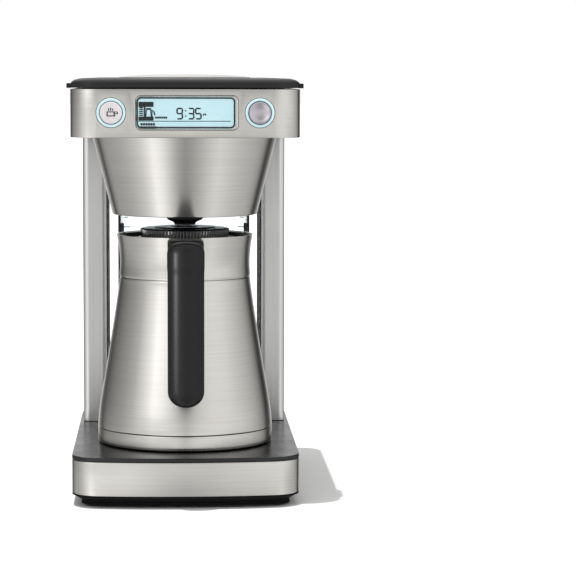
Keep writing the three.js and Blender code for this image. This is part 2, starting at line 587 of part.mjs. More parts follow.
function addJug() {
  const jug = group(coffeeMaker, 0, AXIS_Y);
  piece(jug, "jug_body", turned(wall(bodyCurve, 7, 0, 1.2)), steel());
  piece(jug, "jug_collar", turned(wall(collarCurve, 4, 0, 1.2)), steel());
  const ring = [[82.6, 50.1], [84, 50.1], [85.3, 56], [85.7, 63.7], [84.3, 63.7], [83.9, 56]];
  piece(jug, "jug_base_ring", turned(ring), steel());
  const foot = [[0, PLATE_TOP + GAP], [80.4, PLATE_TOP + GAP], [81.9, 50], [82.2, 54], [0, 54]];
  piece(jug, "jug_foot", turned(foot), blackPlastic());

  const inner = bodyCurve.getPoints(5).filter(({ y }) => y > 68);
  const liner = [
    [0, 58], [72, 58], [77, 61],
    ...inner.map(({ x, y }) => [x - 4.5, y]), [59, 222], [60.4, 228.6],
    [59.4, 228.6], [58, 222],
    ...inner.map(({ x, y }) => [x - 5.5, y]).reverse(),
    [76, 62], [71.5, 59], [0, 59],
  ];
  piece(jug, "jug_liner", turned(liner, 32), steel());

  const insert = [[58.6, 229], [61.2, 229], [62.4, 238], [64.6, 251], [63.6, 251], [58.6, 246.5]];
  piece(jug, "neck_insert", turned(insert, 32), blackPlastic());
  const lid = [
    [0, 230], [52, 230], [56, 231], [56, 242], [58.2, 243], [58.2, 246], [57.4, 247.4], [43.2, 249.5], [43.2, 257.4],
    [42, 258.6], [31.5, 260.2], [29.5, 260.6], [14, 260.6], [10, 257], [0, 256.5],
  ];
  piece(jug, "jug_lid", turned(lid, 36), blackPlastic());
  piece(jug, "jug_lid_seal", turned([[56.4, 236.5], [58.2, 236.5], [58.2, 239.5], [56.4, 239.5]], 32), silicone());

  // Grip: an upright bar with a rounded section, full at the top and rounded off at its free end.
  const back = FRONT - GRIP_REACH + GRIP.thickness - AXIS_Y;
  const front = back - GRIP.thickness;
  const section = (inset) => roundedBox({ halfWidth: GRIP.halfWidth, front, back, corner: 11 }, inset);
  const endRound = (end, direction) => [10, 5, 2, 0.5, 0].map((inset, i) => {
    const rise = [0, 1.6, 5, 10, 16][i];
    return [end + direction * rise, section(inset)];
  });
  const grip = loft([...endRound(GRIP.bottom, 1), ...endRound(GRIP.top, -1).reverse()]);
  piece(jug, "jug_grip", grip, softTouch());

  const bracket = cut(
    prism(roundedBox({ halfWidth: 17, front: back + GAP, back: -40, corner: 2 }), 237, 250),
    turned([[0, 230], [64.9, 230], [64.9, 239], [67, 253], [0, 253]]),
  );
  piece(jug, "grip_bracket", bracket, blackPlastic());
}

addBase();
addColumns();
addWaterPath();
addElectrics();
addHead();
addControls();
addLids();
addBrewUnit();
addJug();

export default coffeeMaker;
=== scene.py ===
"""Looks of a drip coffee maker: brushed steel head, funnel, band and thermal jug, black mouldings, a clear
tank behind the jug and a lit display between a push button and a dial. Shapes are worked out in
millimetres."""

import json
from math import radians

import bpy
import numpy as np
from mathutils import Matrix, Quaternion, Vector

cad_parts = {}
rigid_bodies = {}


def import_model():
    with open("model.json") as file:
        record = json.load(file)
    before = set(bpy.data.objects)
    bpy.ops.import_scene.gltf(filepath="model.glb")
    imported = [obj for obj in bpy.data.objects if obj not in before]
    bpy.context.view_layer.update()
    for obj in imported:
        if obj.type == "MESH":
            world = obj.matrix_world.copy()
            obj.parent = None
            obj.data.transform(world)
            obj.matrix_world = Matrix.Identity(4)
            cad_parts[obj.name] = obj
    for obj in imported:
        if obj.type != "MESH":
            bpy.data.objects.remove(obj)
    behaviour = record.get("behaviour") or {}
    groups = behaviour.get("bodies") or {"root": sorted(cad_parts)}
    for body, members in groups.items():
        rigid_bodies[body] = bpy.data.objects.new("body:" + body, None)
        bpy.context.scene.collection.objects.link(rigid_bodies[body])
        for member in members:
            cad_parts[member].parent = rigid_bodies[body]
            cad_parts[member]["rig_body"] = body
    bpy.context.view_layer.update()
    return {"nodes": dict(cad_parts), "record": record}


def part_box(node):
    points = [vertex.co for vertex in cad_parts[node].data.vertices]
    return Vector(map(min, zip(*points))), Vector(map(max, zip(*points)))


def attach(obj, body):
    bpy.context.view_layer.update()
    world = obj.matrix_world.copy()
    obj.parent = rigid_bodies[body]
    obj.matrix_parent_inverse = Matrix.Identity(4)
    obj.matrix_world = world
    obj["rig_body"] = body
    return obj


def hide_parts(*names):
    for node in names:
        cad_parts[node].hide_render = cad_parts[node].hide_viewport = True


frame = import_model()
HOME = {node: obj["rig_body"] for node, obj in frame["nodes"].items()}
SLOT = {part["node"]: part["material_slot"] for part in frame["record"]["subparts"]}


def span(node):
    """Lowest and highest corner of a CAD node at rest, in millimetres."""
    low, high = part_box(node)
    return np.array(low) * 1000, np.array(high) * 1000


def centre_of(node):
    """Centre of a CAD node's box: x, y, z."""
    return sum(span(node)) / 2


def heights_of(node):
    """Lowest and highest z of a CAD node."""
    low, high = span(node)
    return low[2], high[2]


GAP = 0.3  # room left between neighbouring pieces
SHEET = 1.5  # steel of the head, the columns and the funnel
JUG_SHEET = 1.2  # steel of the jug
PIN_HOLE = 1.8  # radius of the hinge pins' holes

# ---------------------------------------------------------------- camera

# A long lens level with the top of the machine, looking slightly down at it.
camera = bpy.data.objects.new("studio_camera", bpy.data.cameras.new("studio_camera"))
bpy.context.scene.collection.objects.link(camera)
bpy.context.scene.camera = camera
camera.data.lens = 150
camera.data.sensor_width = 36
camera.location = (-0.0172, -2.3971, 0.4080)
aim = Vector((0.05019, 0.99478, -0.08880)).to_track_quat("-Z", "Y")
camera.rotation_euler = (aim @ Quaternion((0, 0, 1), radians(0.13))).to_euler()

# ---------------------------------------------------------------- shapes


def skin(rows, loop=False, capped=False):
    """Faces over a grid of points (row, place around, xyz), closed around. A row that shrinks to one point
    becomes a pole, loop joins the last row to the first, and capped closes both end rows with one flat face
    each."""
    count, around = rows.shape[:2]
    pole = np.ptp(rows, axis=1).max(axis=1) < 1e-6
    first = np.cumsum(np.where(pole, 1, around)) - np.where(pole, 1, around)
    index = first[:, None] + np.where(pole[:, None], 0, np.arange(around))
    points = rows[~pole[:, None] | (np.arange(around) == 0)]
    low = index if loop else index[:-1]
    high = np.roll(index, -1, 0) if loop else index[1:]
    quads = np.stack([low, np.roll(low, -1, 1), np.roll(high, -1, 1), high], -1).reshape(-1, 4)
    starts, ends = quads[:, 0] == quads[:, 1], quads[:, 2] == quads[:, 3]
    faces = quads[~starts & ~ends].tolist() + quads[starts][:, 1:].tolist() + quads[ends][:, :3].tolist()
    if capped:
        faces += [index[0][::-1].tolist(), index[-1].tolist()]
    return points, faces


def eased(corners, radius, loop=True, steps=4):
    """Polyline whose corners are rounded: each becomes the curve (1-t)^2 a + 2t(1-t) corner + t^2 b, where a
    and b lie `radius` before and after it, or at most 0.45 of the way along a side. An open line keeps its
    two ends."""
    corner = np.asarray(corners, float)
    back, ahead = np.roll(corner, 1, 0) - corner, np.roll(corner, -1, 0) - corner
    reach = np.zeros(len(corner)) + radius
    if not loop:
        reach[[0, -1]] = 0
    share = [np.minimum(reach / np.linalg.norm(side, axis=1), 0.45)[:, None] * side for side in (back, ahead)]
    t = np.linspace(0, 1, steps + 1)[None, :, None]
    a, b, middle = (corner + share[0])[:, None], (corner + share[1])[:, None], corner[:, None]
    line = ((1 - t) ** 2 * a + 2 * t * (1 - t) * middle + t**2 * b).reshape(-1, 2)
    return line[np.linalg.norm(line - np.roll(line, 1, 0), axis=1) > 1e-6]


def smooth_through(knots, count):
    """Points of a Catmull-Rom curve through [radius, height] knots: each stretch is the cubic whose slope at
    a knot is half the step between that knot's neighbours."""
    knots = np.asarray(knots, float)
    padded = np.vstack([2 * knots[0] - knots[1], knots, 2 * knots[-1] - knots[-2]])
    place = np.linspace(0, len(knots) - 1, count)
    i = np.minimum(place.astype(int), len(knots) - 2)
    t = (place - i)[:, None]
    a, b, c, d = (padded[i + k] for k in range(4))
    return b + t / 2 * (c - a + t * (2 * a - 5 * b + 4 * c - d + t * (3 * (b - c) + d - a)))


def turned(profile, centre=(0, 0), sides=144, ribs=0, depth=0, rib_band=(0, 0, 0)):
    """A [radius, height] line carried round a vertical axis: x = radius cos a, y = radius sin a. A line off
    the axis closes on itself. Ribs add depth times a flattened cosine of ribs x angle to the radius of the
    rows in rib_band, which gives their lowest and highest height and their least radius."""
    radius, height = np.asarray(profile, float).T
    angle = np.linspace(0, 2 * np.pi, sides, endpoint=False)
    wave = np.clip(1.8 * np.cos(ribs * angle), -1, 1) if ribs else np.zeros(sides)
    lowest, highest, innermost = rib_band
    lifted = (height > lowest) & (height < highest) & (radius > innermost)
    reach = radius[:, None] + depth * lifted[:, None] * wave
    rows = [centre[0] + reach * np.cos(angle), centre[1] + reach * np.sin(angle), height[:, None] + 0 * angle]
    return skin(np.stack(rows, -1), loop=radius[0] > 0)


def outline(shape, inset=0, arc=12):
    """Rounded plan, anticlockwise, of a shape given as half width, front y, back y, front corner radius, back
    corner radius and bow. It has four corner arcs, and with a bow the front curves forward as the parabola
    y = front + sag (x / start)^2, which meets the corner arcs without a kink."""
    half, front, back, nose_r, tail_r, bow = shape
    x = half - inset
    nose, tail = max(nose_r - inset, 0.6), max(tail_r - inset, 0.6)
    lean = np.arctan(2 * bow / (x - nose))
    start = x - nose + nose * np.sin(lean)
    sag = np.tan(lean) * start / 2
    nose_y, tail_y = front + inset + sag + nose * np.cos(lean), back - inset - tail
    turn = np.linspace(0, 1, arc + 1)
    front_turn, back_turn = -np.pi / 2 + lean + turn * (np.pi / 2 - lean), turn * np.pi / 2
    across = np.linspace(-start, start, 18)[1:-1]
    return np.concatenate([
        np.stack([x - nose + nose * np.cos(front_turn), nose_y + nose * np.sin(front_turn)], -1),
        np.stack([x - tail + tail * np.cos(back_turn), tail_y + tail * np.sin(back_turn)], -1),
        np.stack([tail - x - tail * np.sin(back_turn), tail_y + tail * np.cos(back_turn)], -1),
        np.stack([nose - x - nose * np.cos(front_turn), nose_y + nose * np.sin(front_turn)], -1)[::-1],
        np.stack([across, front + inset + sag * (across / start) ** 2], -1),
    ])


def walled(shape, profile, loop=True, middle=(0, 0)):
    """An [inset, height] line carried round a plan: a ring of wall when it closes on itself, else a capped
    solid."""
    plans = [outline(shape, inset) for inset, _ in profile]
    rings = [np.column_stack([plan, np.full(len(plan), height)]) for plan, (_, height) in zip(plans, profile)]
    return skin(np.array(rings) + np.array([*middle, 0]), loop=loop, capped=not loop)


def box_plan(node, corner):
    """Plan of a CAD node's box, with round corners."""
    low, high = span(node)
    return ((high[0] - low[0]) / 2, low[1], high[1], corner, corner, 0), (low[0] + high[0]) / 2


def block(low, high, corner=0.8):
    """Upright block with rounded vertical edges and eased rims."""
    (x0, y0, z0), (x1, y1, z1) = low, high
    plan = ((x1 - x0) / 2, y0, y1, corner, corner, 0)
    ease = min(0.3, (z1 - z0) / 4)
    return walled(plan, [(ease, z0), (0, z0 + ease), (0, z1 - ease), (ease, z1)], loop=False,
                  middle=((x0 + x1) / 2, 0))


def facing(solid, at, way=-1):
    """Turns a solid made about +Z so that its top faces the front, or with way = 1 the back, and moves it:
    (x, y, z) -> (x, way z, y) + at."""
    points, faces = solid
    return points[:, [0, 2, 1]] * (1, way, 1) + np.asarray(at, float), faces


def lengthways(solid, at):
    """Turns a solid made about +Z so that its top faces the right, and moves it:
    (x, y, z) -> (z, x, y) + at."""
    points, faces = solid
    return points[:, [2, 0, 1]] + np.asarray(at, float), faces


def joined(*solids):
    """Several solids as one mesh."""
    starts = np.cumsum([0] + [len(points) for points, _ in solids])
    faces = [[i + start for i in face] for start, (_, part) in zip(starts, solids) for face in part]
    return np.concatenate([points for points, _ in solids]), faces


def rod(radius, bottom, top, centre=(0, 0), sides=48):
    """Plain round tool for holes."""
    return turned([(0, bottom), (radius, bottom), (radius, top), (0, top)], centre, sides)


def mesh_of(name, solid):
    """A mesh in metres whose faces all point outwards: it is turned round if its signed volume is
    negative."""
    points, faces = solid
    mesh = bpy.data.meshes.new(name)
    mesh.from_pydata(points / 1000, [], faces)
    mesh.calc_loop_triangles()
    corners = np.zeros(len(mesh.loop_triangles) * 3, np.int32)
    mesh.loop_triangles.foreach_get("vertices", corners)
    a, b, c = np.swapaxes(points[corners].reshape(-1, 3, 3), 0, 1)
    if np.einsum("ij,ij->i", a, np.cross(b, c)).sum() < 0:
        mesh.flip_normals()
    return mesh


def piece(solid, finish, home, *others, detail=None, crease=32, cutters=(), region=None):
    """One shown piece, riding with CAD node `home`, in the finish it is given. It stands for home and the
    other nodes, or with `detail` it is an addition of that name and hides none. Cutters are taken away from
    it, and only what lies in the region stays. Edges that turn by more than `crease` degrees stay sharp."""
    name = detail or "fine_" + home
    shown = bpy.data.objects.new(name, mesh_of(name, solid))
    bpy.context.scene.collection.objects.link(shown)
    tools = [("DIFFERENCE", cutter) for cutter in cutters] + ([("INTERSECT", region)] if region else [])
    for kind, tool in tools:
        helper = bpy.data.objects.new("tool", mesh_of("tool", tool))
        bpy.context.scene.collection.objects.link(helper)
        cut = shown.modifiers.new("cut", "BOOLEAN")
        cut.operation, cut.object, cut.solver = kind, helper, "EXACT"
        mesh = bpy.data.meshes.new_from_object(shown.evaluated_get(bpy.context.evaluated_depsgraph_get()))
        shown.modifiers.clear()
        shown.data = mesh
        bpy.data.objects.remove(helper)
    shown.data.shade_smooth()
    shown.data.set_sharp_from_angle(angle=radians(crease))
    shown.data.materials.clear()
    shown.data.materials.append(finish)
    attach(shown, HOME[home])
    if not detail:
        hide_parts(home, *others)
    return shown


# ---------------------------------------------------------------- finishes


def linear(code):
    """Linear colour of an sRGB hex code: c / 12.92 up to 0.04045, above it ((c + 0.055) / 1.055) ^ 2.4."""
    c = np.array([int(code[i : i + 2], 16) for i in (0, 2, 4)]) / 255
    return (*np.where(c <= 0.04045, c / 12.92, ((c + 0.055) / 1.055) ** 2.4).tolist(), 1.0)


def feed(node, inputs):
    """Sets a node's sockets: a value is set, and a (node, output) pair is linked."""
    for socket, value in inputs.items():
        if isinstance(value, tuple) and isinstance(value[0], bpy.types.Node):
            node.id_data.links.new(value[0].outputs[value[1]], node.inputs[socket])
        else:
            node.inputs[socket].default_value = value
    return node


def add(tree, kind, inputs=None, **settings):
    """Adds one node with its settings and its links."""
    node = tree.nodes.new(kind)
    for name, value in settings.items():
        setattr(node, name, value)
    return feed(node, inputs or {})


def shader_of(name):
    """A new material's tree, its principled shader and its Object coordinates."""
    material = bpy.data.materials.new(name)
    material.use_nodes = True
    tree = material.node_tree
    return material, tree, tree.nodes["Principled BSDF"], (add(tree, "ShaderNodeTexCoord"), "Object")


def grain(tree, place, scale, detail=3.0):
    """Noise drawn out along the axes whose scale is small; scales are features per metre."""
    spread = add(tree, "ShaderNodeMapping", {"Vector": place, "Scale": scale})
    noise = {"Vector": (spread, "Vector"), "Scale": 1.0, "Detail": detail}
    return add(tree, "ShaderNodeTexNoise", noise), "Fac"


def brushed_steel(name, dark, light, roughness, pull, scale):
    """Stainless sheet, belt-brushed along the horizontal: grain lines a millimetre or so apart, drawn a
    little coarser than the real 0.3 mm so that they show, over soft broad streaks, and highlights drawn out
    across the grain."""
    material, tree, shader, place = shader_of(name)
    fine = grain(tree, place, scale)
    broad = grain(tree, place, tuple(s / 5 for s in scale), 2.0)
    handled = grain(tree, place, (16, 16, 16), 2.0)
    mixed = add(tree, "ShaderNodeMix", {0: 0.12, 2: fine, 3: broad}, data_type="FLOAT"), 0
    spread = add(tree, "ShaderNodeMapRange", {"Value": mixed, "From Min": 0.25, "From Max": 0.75}), "Result"
    colour = add(tree, "ShaderNodeMix", {0: spread, 6: linear(dark), 7: linear(light)}, data_type="RGBA"), 2
    worn = {"Value": handled, "From Min": 0.3, "From Max": 0.7, "To Min": roughness - 0.03,
            "To Max": roughness + 0.04}
    rough = add(tree, "ShaderNodeMapRange", worn), "Result"
    relief = add(tree, "ShaderNodeBump", {"Height": mixed, "Strength": 0.028, "Distance": 0.0002}), "Normal"
    surface = add(tree, "ShaderNodeNewGeometry"), "Normal"
    upright = {0: (0.001, 0, 1), 1: surface}
    across = add(tree, "ShaderNodeVectorMath", upright, operation="CROSS_PRODUCT"), "Vector"
    feed(shader, {"Base Color": colour, "Metallic": 1.0, "Roughness": rough, "Normal": relief})
    feed(shader, {"Anisotropic": pull, "Anisotropic Rotation": 0.25, "Tangent": across})
    return material


def moulded(name, dark, light, roughness, bump, grit, specular=0.5, coat=0.0):
    """Injection-moulded plastic or rubber from a spark-eroded tool: a fine grit in the relief, cloudy
    variation in tone and gloss 40 mm across, and edges rubbed a little paler."""
    material, tree, shader, place = shader_of(name)
    speck = grain(tree, place, (grit,) * 3, 2.0)
    cloud = grain(tree, place, (25,) * 3, 3.0)
    rubbed = {"Value": (add(tree, "ShaderNodeNewGeometry"), "Pointiness"), "From Min": 0.51, "From Max": 0.62}
    edge = add(tree, "ShaderNodeMapRange", rubbed), "Result"
    tone = add(tree, "ShaderNodeMath", {0: cloud, 1: 0.55, 2: 0.1}, operation="MULTIPLY_ADD"), 0
    tone = add(tree, "ShaderNodeMath", {0: tone, 1: edge}, operation="ADD", use_clamp=True), 0
    colour = add(tree, "ShaderNodeMix", {0: tone, 6: linear(dark), 7: linear(light)}, data_type="RGBA"), 2
    gloss = {"Value": cloud, "From Min": 0.3, "From Max": 0.7, "To Min": roughness - 0.04,
             "To Max": roughness + 0.05}
    rough = add(tree, "ShaderNodeMapRange", gloss), "Result"
    relief = add(tree, "ShaderNodeBump", {"Height": speck, "Strength": bump, "Distance": 0.0002}), "Normal"
    feed(shader, {"Base Color": colour, "Roughness": rough, "Normal": relief, "Specular IOR Level": specular})
    feed(shader, {"Coat Weight": coat, "Coat Roughness": 0.25})
    return material


def clear_san(name):
    """Clear moulded SAN, a glassy plastic: very smooth, with faint flow marks that bend what is seen through
    it."""
    material, tree, shader, place = shader_of(name)
    flow = grain(tree, place, (20, 20, 5), 2.0)
    relief = add(tree, "ShaderNodeBump", {"Height": flow, "Strength": 0.05, "Distance": 0.001}), "Normal"
    haze = add(tree, "ShaderNodeMapRange", {"Value": flow, "To Min": 0.0, "To Max": 0.05}), "Result"
    feed(shader, {"Base Color": linear("F6FBFC"), "Roughness": haze, "IOR": 1.2, "Transmission Weight": 1.0})
    feed(shader, {"Normal": relief})
    return material


def glowing(name, dark, light, glow, roughness):
    """Frosted plastic lit from behind: a milky glow whose colour and brightness vary a little in soft clouds.
    """
    material, tree, shader, place = shader_of(name)
    cloud = grain(tree, place, (30, 30, 60), 1.0)
    colour = add(tree, "ShaderNodeMix", {0: cloud, 6: linear(dark), 7: linear(light)}, data_type="RGBA"), 2
    feed(shader, {"Base Color": colour, "Roughness": roughness, "Emission Color": colour,
                  "Emission Strength": glow})
    feed(shader, {"Specular IOR Level": 0.4})
    return material


def satin_metal(name, dark, light, roughness, scale=(60, 60, 60), metallic=1.0):
    """Metal with a fine even satin from blasting, plating or casting: low-contrast mottling and softly uneven
    gloss."""
    material, tree, shader, place = shader_of(name)
    mottle = grain(tree, place, scale, 4.0)
    colour = add(tree, "ShaderNodeMix", {0: mottle, 6: linear(dark), 7: linear(light)}, data_type="RGBA"), 2
    gloss = {"Value": mottle, "From Min": 0.3, "From Max": 0.7, "To Min": roughness - 0.05,
             "To Max": roughness + 0.05}
    rough = add(tree, "ShaderNodeMapRange", gloss), "Result"
    relief = add(tree, "ShaderNodeBump", {"Height": mottle, "Strength": 0.06, "Distance": 0.0002}), "Normal"
    feed(shader, {"Base Color": colour, "Metallic": metallic, "Roughness": rough, "Normal": relief})
    return material


# Most finishes give a dark and a light tone, then the roughness, and a lit one gives its glow before the
# roughness. Steels add the pull of their highlights and the scale of the grain along each axis. Mouldings add
# the depth and fineness of their grit, then how much they mirror.
STEEL = brushed_steel("brushed_stainless_steel", "D8D5D0", "E0DED9", 0.19, 0.75, (10, 10, 900))
COLUMN_STEEL = brushed_steel("satin_brushed_stainless", "DFDFDE", "E9E9E8", 0.42, 0.3, (500, 500, 8))
LINER_STEEL = brushed_steel("deep_drawn_stainless", "A9A7A3", "C4C1BB", 0.3, 0.5, (30, 30, 400))
PLATED = satin_metal("zinc_plated_steel", "8E9092", "B4B6B8", 0.32, (300, 300, 300))
CAST = satin_metal("die_cast_aluminium", "8C8D8F", "B0B1B2", 0.5, (220, 220, 220))
BEZEL_METAL = satin_metal("satin_plated_zinc", "D2D0CC", "E4E2DE", 0.22)
BUTTON_SILVER = satin_metal("silver_painted_abs", "D9D3D6", "ECE7E9", 0.38, (40, 40, 40), 0.35)
KNOB_SILVER = satin_metal("spun_aluminium", "B9B2B8", "DAD5DA", 0.3, (40, 40, 40))
ABS = moulded("black_moulded_abs", "171718", "2B2B2C", 0.5, 0.1, 1100, 0.3)
LID_ABS = moulded("black_gloss_moulded_abs", "101011", "1D1D1E", 0.36, 0.06, 1100, 0.4)
GLOSS_ABS = moulded("polished_moulded_abs", "0E0E0F", "1A1A1B", 0.26, 0.03, 1100, 1.0)
PAN_ABS = moulded("matt_black_abs_foot", "0B0B0C", "151516", 0.7, 0.1, 1100, 0.1)
PLATE_ABS = moulded("satin_black_abs", "101011", "1C1C1D", 0.26, 0.04, 1100)
# The columns' cheeks are black as painted shade, for the dark that falls between the columns and the tank.
CHEEK_SHADE_ABS = moulded("matt_black_painted_shade_cheek", "1A1A1B", "2C2C2D", 0.6, 0.1, 1100, 0.25)
GRIP_TPE = moulded("soft_touch_tpe", "0F0F10", "18181A", 0.34, 0.05, 1400, 0.3)
RUBBER = moulded("black_nitrile_rubber", "141414", "262626", 0.75, 0.2, 900, 0.3)
SILICONE = moulded("translucent_silicone", "CFCCC3", "E6E3DB", 0.45, 0.05, 700)
BOARD = moulded("lacquered_fibreglass_board", "1F4D33", "2F7048", 0.4, 0.15, 600, 0.5, 0.6)
TANK_CLEAR = clear_san("clear_moulded_san")
RING_GLOW = glowing("frosted_acrylic_light_pipe", "B3D0D7", "C8E0E5", 0.12, 0.3)
DISPLAY_GLOW = glowing("backlit_display_film", "ADCFD7", "BEDBE2", 0.14, 0.2)
INK = moulded("display_segment_film", "10181C", "1C262B", 0.5, 0.02, 400)
COATED = moulded("black_powder_coated_steel", "1C1C1D", "2A2A2B", 0.55, 0.25, 900, 0.4)

# ---------------------------------------------------------------- base

low, high = span("base_band")
BASE = (high[0], low[1], high[1], 28, 26, 6)
band_bottom, band_top = heights_of("base_band")
pan_bottom, pan_top = heights_of("base_pan")
plate_bottom, plate_top = band_top + GAP, heights_of("column_left")[0] - GAP
feet = [name for name in HOME if name.startswith("foot_")]
screws = [name for name in HOME if name.startswith("base_screw_")]
axis = (0, centre_of("jug_foot")[1])
valve = centre_of("tank_valve")[:2]

# The pan narrows to a foot all round, so that the band seems to float.
tray_line = [(11.6, pan_bottom + 2.5), (11.6, pan_bottom + 4), (2, pan_top), (0.2, pan_top),
             (0, pan_top - 0.8), (9.9, pan_bottom + 4), (9.8, pan_bottom + 3.2), (8.6, pan_bottom + 0.4),
             (9.8, pan_bottom)]
tray = walled(BASE, eased(tray_line, 0.5, loop=False), loop=False)
# The stems of the feet and the screws pass through the pan.
foot_holes = [rod(3.3, 0, 8, centre_of(foot)[:2]) for foot in feet]
screw_holes = [rod(3.4, 0, 8, centre_of(screw)[:2]) for screw in screws]
piece(tray, PAN_ABS, "base_pan", cutters=foot_holes + screw_holes)

gland_x, _, gland_z = centre_of("cord_gland")
gland_at = (gland_x, span("cord_gland")[1][1], gland_z)
band_wall = walled(BASE, eased([(0, band_bottom), (0, band_top), (2.4, band_top), (2.4, band_bottom)], 1.0))
piece(band_wall, STEEL, "base_band", cutters=[facing(rod(7.3, -5, 20), gland_at)])

plate_line = [(3, plate_bottom), (0.1, plate_bottom), (0, plate_top - 0.9), (1, plate_top), (4, plate_top)]
plate = walled(BASE, eased(plate_line, 0.5, loop=False), loop=False)
post_top = plate_bottom + 0.2
post_line = [(0, 7.3), (4.5, 7.3), (4.5, post_top), (0, post_top)]
posts = [turned(post_line, centre_of(screw)[:2], 32) for screw in screws]
# Holes for the tank's valve, and for the pipe and the wiring that run up inside the columns.
plate_holes = [rod(10, 40, 60, valve)] + [rod(6, 40, 60, (side * 90, 125)) for side in (1, -1)]
piece(joined(plate, *posts), PLATE_ABS, "base_plate", cutters=plate_holes)

tread = [(0, 0.2), (3, 0.2), (3.4, 0), (5, 0), (5.4, 0.2), (6.2, 0.2), (6.6, 0), (9, 0), (10, 0.5), (10, 1.2),
         (3, 1.2), (3, 4.6), (0, 4.6)]
for foot in feet:
    piece(turned(eased(tread, 0.15, loop=False), centre_of(foot)[:2], 64), RUBBER, foot)
gland_line = [(3.6, -7.5), (7, -7.5), (7, -1.2), (9, -1.2), (9, -0.5), (8.4, 0), (5.2, 0), (4.4, -0.6),
              (3.6, -0.8)]
piece(facing(turned(eased(gland_line, 0.25), (0, 0), 96), gland_at, way=1), RUBBER, "cord_gland")

# ---------------------------------------------------------------- columns and tank

for column in ("column_left", "column_right"):
    plan, middle = box_plan(column, 6)
    bottom, top = heights_of(column)
    wall = eased([(0, bottom), (0, top), (SHEET, top), (SHEET, bottom)], 0.4)
    shown = piece(walled(plan, wall, middle=(middle, 0)), COLUMN_STEEL, column)
    # The cheek that faces the tank is made matt black: painted shade, for the dark it shows between the
    # column and the tank.
    shown.data.materials.append(CHEEK_SHADE_ABS)
    inwards = np.array([face.normal[0] for face in shown.data.polygons]) * -np.sign(middle)
    shown.data.polygons.foreach_set("material_index", (inwards > 0.8).astype(np.int32))

TANK, tank_x = box_plan("water_tank", 8)
tank_front = span("water_tank")[0][1]
tank_bottom, tank_top = heights_of("water_tank")
tank_floor = tank_bottom + 3.2
tank_line = [(8, tank_floor), (2.5, tank_floor), (2.5, tank_top), (0, tank_top), (0, tank_bottom),
             (8, tank_bottom)]
tank = walled(TANK, eased(tank_line, 0.7, loop=False), loop=False, middle=(tank_x, 0))
piece(tank, TANK_CLEAR, "water_tank", cutters=[rod(14.6, 40, 60, valve)])


def tank_front_mark(x, wide, bottom, top, corner=0.08):
    """Flat mark on the front of the tank."""
    return block((x - wide / 2, tank_front - 0.25, bottom), (x + wide / 2, tank_front - 0.05, top), corner)


SIDES = (-1, 1)
scale_marks = list(zip(range(90, 340, 10), [9, 5] * 13))  # heights, and a long and a short mark by turns
levels = [tank_front_mark(side * 60, wide, z, z + 0.9) for side in SIDES for z, wide in scale_marks]
piece(joined(*levels), INK, "water_tank", detail="tank_level_marks")
# Dark strips down the clear tank's corners are painted shade, standing for the dark lines those corners show;
# the wider marks near the top are the catches.
edges = [tank_front_mark(side * 66.4, 1.4, 60, 340) for side in SIDES]
catches = [tank_front_mark(side * 63.6, 3.8, 225, 254.5, 0.3) for side in SIDES]
piece(joined(*edges, *catches), INK, "water_tank", detail="tank_edge_strips")

# ---------------------------------------------------------------- head

low, high = span("head_shell")
HEAD = (high[0], low[1], high[1], 25, 24, 0)
head_front, head_back, head_bottom, head_top = low[1], high[1], low[2], high[2]
left_x, right_x = centre_of("button_ring")[0], centre_of("dial_ring")[0]
bezel_x, _, bezel_z = centre_of("display_bezel")
lens_x, lens_front = centre_of("display_lens")[0], span("display_lens")[0][1]


def badge(node, corner, room=0.0):
    """Plan of a CAD node as seen from the front, a rounded rectangle that `facing` turns upright."""
    low, high = span(node)
    half_x, half_z = (high[0] - low[0]) / 2 + room, (high[2] - low[2]) / 2 + room
    return (half_x, -half_z, half_z, corner, corner, 0)


def at_bezel(solid):
    """A solid made about +Z, turned to the front on the display bezel's middle."""
    return facing(solid, (bezel_x, head_front, bezel_z))


def at_lens(solid):
    """A solid made about +Z, turned to the front on the lens."""
    return facing(solid, (lens_x, lens_front, bezel_z))


skirt, lip = head_bottom - 0.9, head_top + 0.6
head_wall = walled(HEAD, eased([(0, skirt), (0, lip), (SHEET, lip), (SHEET, skirt)], 0.6))
window = at_bezel(walled(badge("display_bezel", 5.3, GAP), [(0, -20), (0, 20)], loop=False))
ring_holes = [facing(rod(14.1, -20, 20, sides=96), (x, head_front, bezel_z)) for x in (left_x, right_x)]
piece(head_wall, STEEL, "head_shell", cutters=[window, *ring_holes])

bezel = walled(badge("display_bezel", 5), [(0, -8), (0, -0.5), (0.2, -0.15), (0.6, 0), (8, 0), (8, -8)])
throat = [(0, -9), (0, -3.2), (-0.35, -1.2), (-0.9, -0.3), (-1.3, 0.1), (-1.3, 1)]
opening = walled(badge("display_lens", 4, GAP), throat, loop=False, middle=(lens_x - bezel_x, 0))
piece(at_bezel(bezel), BEZEL_METAL, "display_bezel", cutters=[at_bezel(opening)])

LENS = badge("display_lens", 3.7)
lens = walled(LENS, eased([(3, -1.5), (0, -1.5), (0, 0), (3, 0)], 0.2, loop=False), loop=False)
piece(at_lens(lens), DISPLAY_GLOW, "display_lens")
mask = walled(LENS, [(0, 0.02), (0, 0.2), (0.75, 0.2), (0.75, 0.02)])
piece(at_lens(mask), INK, "display_lens", detail="display_edge_mask")


def stroke(x0, z0, x1, z1, width, proud=0.12, base=0.02):
    """Flat bar between two points of the display, with pointed ends as a display segment has."""
    start, end = np.array([x0, z0], float), np.array([x1, z1], float)
    along = (end - start) / np.linalg.norm(end - start)
    side = np.array([-along[1], along[0]]) * width / 2
    tip = along * width / 2
    rim = np.array([start, start + tip + side, end - tip + side, end, end - tip - side, start + tip - side])
    rim += (lens_x, bezel_z)
    rows = [np.insert(rim, 1, lens_front - depth, axis=1) for depth in (proud, base)]
    return skin(np.array(rows), capped=True)


